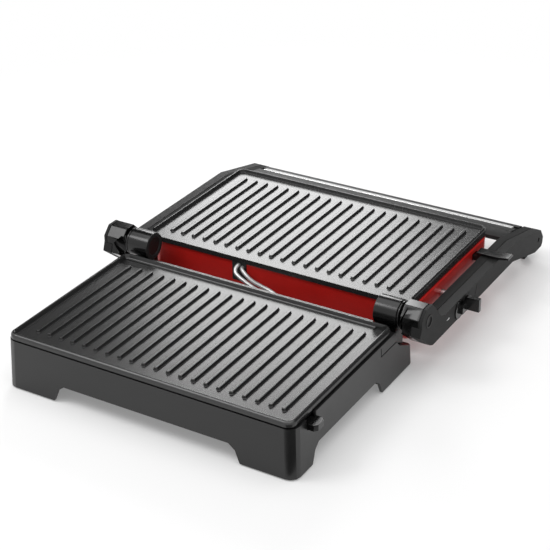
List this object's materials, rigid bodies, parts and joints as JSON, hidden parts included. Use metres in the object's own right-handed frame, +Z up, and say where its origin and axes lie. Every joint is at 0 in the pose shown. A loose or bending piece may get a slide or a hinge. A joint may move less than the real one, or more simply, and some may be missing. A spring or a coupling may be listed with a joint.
{
  "type": "electric contact grill",
  "caption": "Hinged contact grill lying open flat, with a ribbed plate in its base and in its lid, two arms, a bar handle and release controls.",
  "frame": {"origin": "middle of the whole object's box, on the worktop it stands on", "axes": "+X to the right seen from the front, +Y from the base to the opened lid, +Z up"},
  "size_m": [0.3696, 0.487, 0.0753],
  "materials": {
    "housing": "fine satin mould texture",
    "lower_cast": "non-stick metallic grey coat",
    "upper_cast": "non-stick metallic grey coat",
    "shell_metallic": "dark red metallic lacquer",
    "arm_satin": "satin grey",
    "gloss_black": "gloss",
    "handle_grey": "satin grey",
    "bright_trim": "bright plated",
    "control_black": "satin black",
    "rubber": "matt",
    "lead_grey": "silver grey silicone sleeve",
    "steel": "plain zinc plated",
    "element": "dull oxidised sheath",
    "ceramic": "off-white",
    "lamp_lens": "translucent amber"
  },
  "bodies": {
    "base": {"base_housing": "housing", "base_bottom_cover": "housing", "lower_plate": "lower_cast", "lower_heater": "element", "lower_reflector": "steel", "lower_thermostat": "ceramic", "terminal_block": "ceramic", "mains_inlet": "rubber", "link_bush_base": "rubber", "link_lead_outer": "lead_grey", "link_lead_inner": "lead_grey", "lower_button_spring": "steel", "foot_pad_front_right": "rubber", "foot_pad_front_left": "rubber", "foot_pad_rear_right": "rubber", "foot_pad_rear_left": "rubber", "cover_screw_1": "steel", "cover_screw_2": "steel", "cover_screw_3": "steel", "cover_screw_4": "steel", "hinge_sleeve_right": "gloss_black", "hinge_sleeve_left": "gloss_black", "hinge_pin_right": "steel", "hinge_pin_left": "steel"},
    "lid": {"lid_shell": "shell_metallic", "upper_plate": "upper_cast", "upper_heater": "element", "upper_reflector": "steel", "upper_thermostat": "ceramic", "link_bush_lid": "rubber", "power_lamp": "lamp_lens", "ready_lamp": "lamp_lens", "upper_button_spring": "steel", "handle_bar": "handle_grey", "handle_strip": "bright_trim", "hub_collar_right": "gloss_black", "hub_collar_left": "gloss_black", "hub_plug_right": "arm_satin", "hub_plug_left": "arm_satin", "arm_right": "arm_satin", "arm_left": "arm_satin", "arm_cover_right": "arm_satin", "arm_cover_left": "arm_satin", "lid_pin_right": "steel", "lid_pin_left": "steel", "rest_pad_right": "rubber", "rest_pad_left": "rubber", "handle_screw_right": "steel", "handle_screw_left": "steel"},
    "lever": {"release_lever": "control_black"},
    "lower_button": {"lower_release_button": "control_black"},
    "upper_button": {"upper_release_button": "control_black"}
  },
  "joints": [
    {"name": "lid_hinge", "type": "hinge", "parent": "base", "child": "lid", "pos_m": [-0.00725, -0.04, 0.0605], "axis": [1, 0, 0], "range_deg": [0, 180], "deforming": ["link_lead_outer", "link_lead_inner"]},
    {"name": "release_lever", "type": "hinge", "parent": "lid", "child": "lever", "pos_m": [0.16975, 0.0275, 0.04], "axis": [1, 0, 0], "range_deg": [0, 30], "stiffness_Nm_per_rad": 0.05, "springref_deg": -17.19},
    {"name": "lower_release_button", "type": "slide", "parent": "base", "child": "lower_button", "axis": [-1, 0, 0], "range_m": [0, 0.003], "stiffness_N_per_m": 600, "springref_m": -0.002, "deforming": ["lower_button_spring"]},
    {"name": "upper_release_button", "type": "slide", "parent": "lid", "child": "upper_button", "axis": [-1, 0, 0], "range_m": [0, 0.003], "stiffness_N_per_m": 600, "springref_m": -0.002, "deforming": ["upper_button_spring"]}
  ]
}
